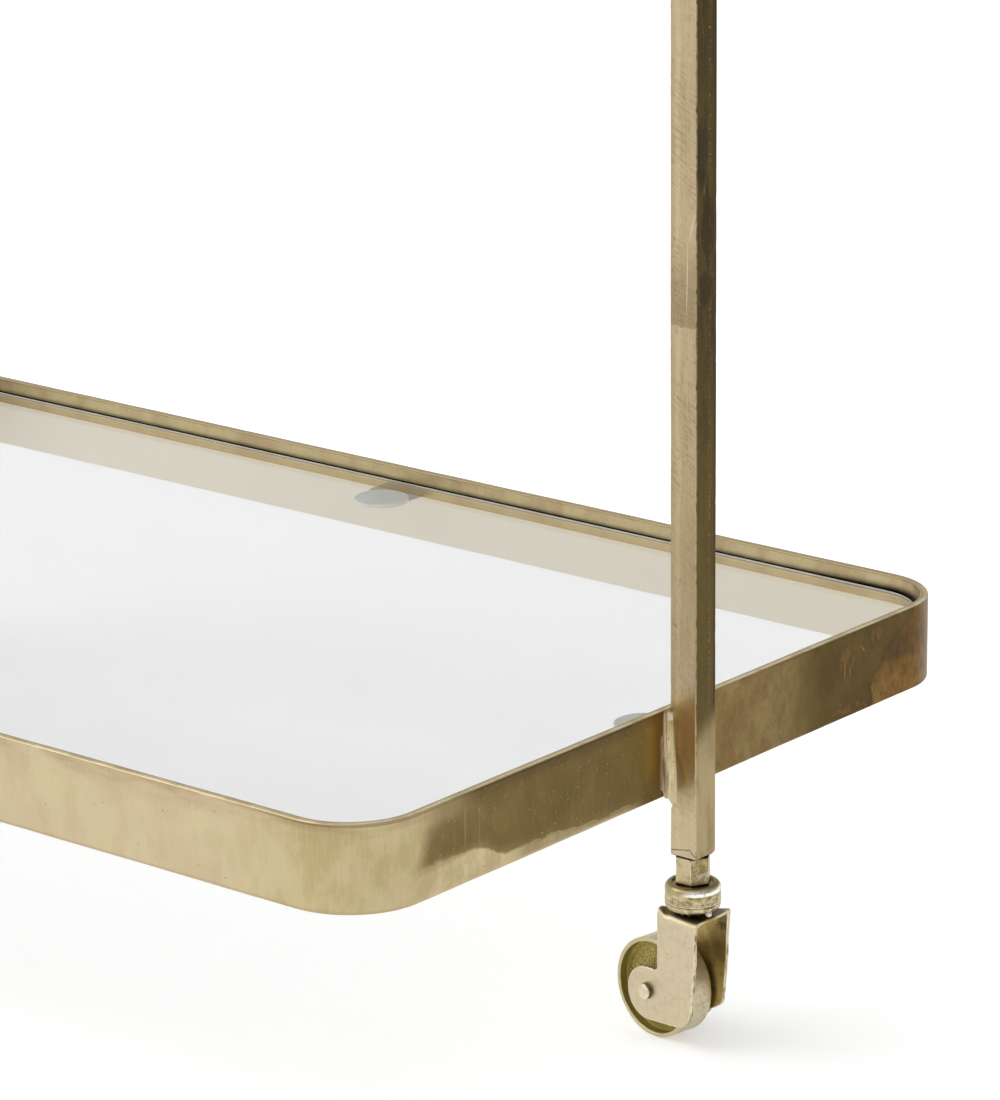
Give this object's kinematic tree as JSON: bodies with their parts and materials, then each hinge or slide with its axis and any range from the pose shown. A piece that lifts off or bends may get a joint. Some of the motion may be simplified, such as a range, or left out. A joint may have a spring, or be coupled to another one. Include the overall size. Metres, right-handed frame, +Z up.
{
  "type": "bar cart",
  "caption": "Tiered bar cart with clear glass trays in rounded flat-bar brass rims, slim square posts on the short ends and small swivel casters.",
  "frame": {"origin": "on the floor, at the middle of the cart's bounding box in plan", "axes": "+X along the cart to the end with the single post, +Y across the cart, +Z up"},
  "size_m": [0.7833, 0.45, 0.7062],
  "materials": {
    "rim_brass": "brushed, aged and unlacquered",
    "post_brass": "brushed, aged and unlacquered",
    "braze_brass": "heat-darkened, hand filed",
    "caster_brass": "pale, worn and pitted",
    "ball_steel": "polished balls",
    "glass": "clear float glass, polished edges",
    "clear_pad": "clear soft pad"
  },
  "bodies": {
    "frame": {"lower_rim": "rim_brass", "upper_rim": "rim_brass", "lower_glass": "glass", "upper_glass": "glass", "lower_tabs": "braze_brass", "upper_tabs": "braze_brass", "lower_pads": "clear_pad", "upper_pads": "clear_pad", "front_post": "post_brass", "left_post": "post_brass", "right_post": "post_brass", "front_plug": "post_brass", "left_plug": "post_brass", "right_plug": "post_brass", "front_cap": "post_brass", "left_cap": "post_brass", "right_cap": "post_brass", "front_lower_braze": "braze_brass", "front_upper_braze": "braze_brass", "left_lower_braze": "braze_brass", "left_upper_braze": "braze_brass", "right_lower_braze": "braze_brass", "right_upper_braze": "braze_brass", "front_stem": "caster_brass", "front_race": "caster_brass", "front_balls": "ball_steel", "front_peen": "caster_brass", "left_stem": "caster_brass", "left_race": "caster_brass", "left_balls": "ball_steel", "left_peen": "caster_brass", "right_stem": "caster_brass", "right_race": "caster_brass", "right_balls": "ball_steel", "right_peen": "caster_brass"},
    "front_swivel": {"front_fork": "caster_brass", "front_rivet": "caster_brass", "front_spacers": "caster_brass"},
    "front_roller": {"front_wheel": "caster_brass"},
    "left_swivel": {"left_fork": "caster_brass", "left_rivet": "caster_brass", "left_spacers": "caster_brass"},
    "left_roller": {"left_wheel": "caster_brass"},
    "right_swivel": {"right_fork": "caster_brass", "right_rivet": "caster_brass", "right_spacers": "caster_brass"},
    "right_roller": {"right_wheel": "caster_brass"}
  },
  "joints": [
    {"name": "front_swivel", "type": "hinge", "parent": "frame", "child": "front_swivel", "pos_m": [0.37755, 0, 0.0657], "axis": [0, 0, 1], "continuous": true},
    {"name": "front_spin", "type": "hinge", "parent": "front_swivel", "child": "front_roller", "pos_m": [0.35846, 0.00285, 0.0243], "axis": [0.1478, 0.989, 0], "continuous": true},
    {"name": "left_swivel", "type": "hinge", "parent": "frame", "child": "left_swivel", "pos_m": [-0.34745, 0.165, 0.0657], "axis": [0, 0, 1], "continuous": true},
    {"name": "left_spin", "type": "hinge", "parent": "left_swivel", "child": "left_roller", "pos_m": [-0.36654, 0.16785, 0.0243], "axis": [0.1478, 0.989, 0], "continuous": true},
    {"name": "right_swivel", "type": "hinge", "parent": "frame", "child": "right_swivel", "pos_m": [-0.34745, -0.165, 0.0657], "axis": [0, 0, 1], "continuous": true},
    {"name": "right_spin", "type": "hinge", "parent": "right_swivel", "child": "right_roller", "pos_m": [-0.36654, -0.16215, 0.0243], "axis": [0.1478, 0.989, 0], "continuous": true}
  ]
}
